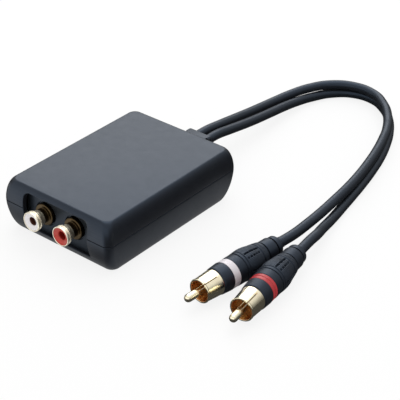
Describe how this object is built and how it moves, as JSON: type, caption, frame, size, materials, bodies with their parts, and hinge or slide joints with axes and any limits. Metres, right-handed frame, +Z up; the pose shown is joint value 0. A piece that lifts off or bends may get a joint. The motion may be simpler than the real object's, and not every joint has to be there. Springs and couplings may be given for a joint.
{
  "type": "ground loop isolator",
  "caption": "Moulded plastic box with RCA sockets in a recessed front and short moulded cables ending in RCA plugs; it blocks hum between audio units.",
  "frame": {"origin": "centre of the box's flat underside, on the surface it stands on", "axes": "+Z up; the sockets face -Y and the cables leave towards +Y; +X is to the right seen from the sockets' side, where the plugs lie"},
  "size_m": [0.1152, 0.1884, 0.023],
  "materials": {
    "housing_plastic": "fine moulded texture",
    "socket_panel": "smooth, very dark",
    "gold_plate": "polished pale gold plating",
    "white_insert": "smooth, off-white",
    "red_insert": "smooth, red",
    "insulator": "smooth, pale",
    "cable_jacket": "satin, smooth",
    "plug_moulding": "satin, moulded grip",
    "white_band": "smooth, white",
    "red_band": "smooth, red with a groove",
    "board": "green solder mask",
    "core_steel": "stacked plates",
    "bobbin_nylon": "natural nylon",
    "copper_wire": "enamelled copper",
    "tinned_metal": "tinned",
    "screw_steel": "zinc plated",
    "lead_red": "insulated wire",
    "lead_braid": "twisted bare copper"
  },
  "bodies": {
    "root": {"upper_shell": "housing_plastic", "lower_shell": "housing_plastic", "housing_screws": "screw_steel", "jack_block": "socket_panel", "jack_barrel_white": "gold_plate", "jack_barrel_red": "gold_plate", "jack_insert_white": "white_insert", "jack_insert_red": "red_insert", "jack_contact_white": "gold_plate", "jack_contact_red": "gold_plate", "circuit_board": "board", "transformer_core_left": "core_steel", "transformer_core_right": "core_steel", "bobbin_left": "bobbin_nylon", "bobbin_right": "bobbin_nylon", "winding_left": "copper_wire", "winding_right": "copper_wire", "bobbin_pins": "tinned_metal", "cable_tails": "cable_jacket", "signal_leads": "lead_red", "shield_leads": "lead_braid", "strain_relief": "housing_plastic", "cable_white": "cable_jacket", "cable_red": "cable_jacket", "plug_pin_white": "gold_plate", "plug_shell_white": "gold_plate", "plug_insulator_white": "insulator", "plug_collar_white": "plug_moulding", "plug_band_white": "white_band", "plug_boot_white": "plug_moulding", "plug_pin_red": "gold_plate", "plug_shell_red": "gold_plate", "plug_insulator_red": "insulator", "plug_collar_red": "plug_moulding", "plug_band_red": "red_band", "plug_boot_red": "plug_moulding"}
  },
  "joints": []
}
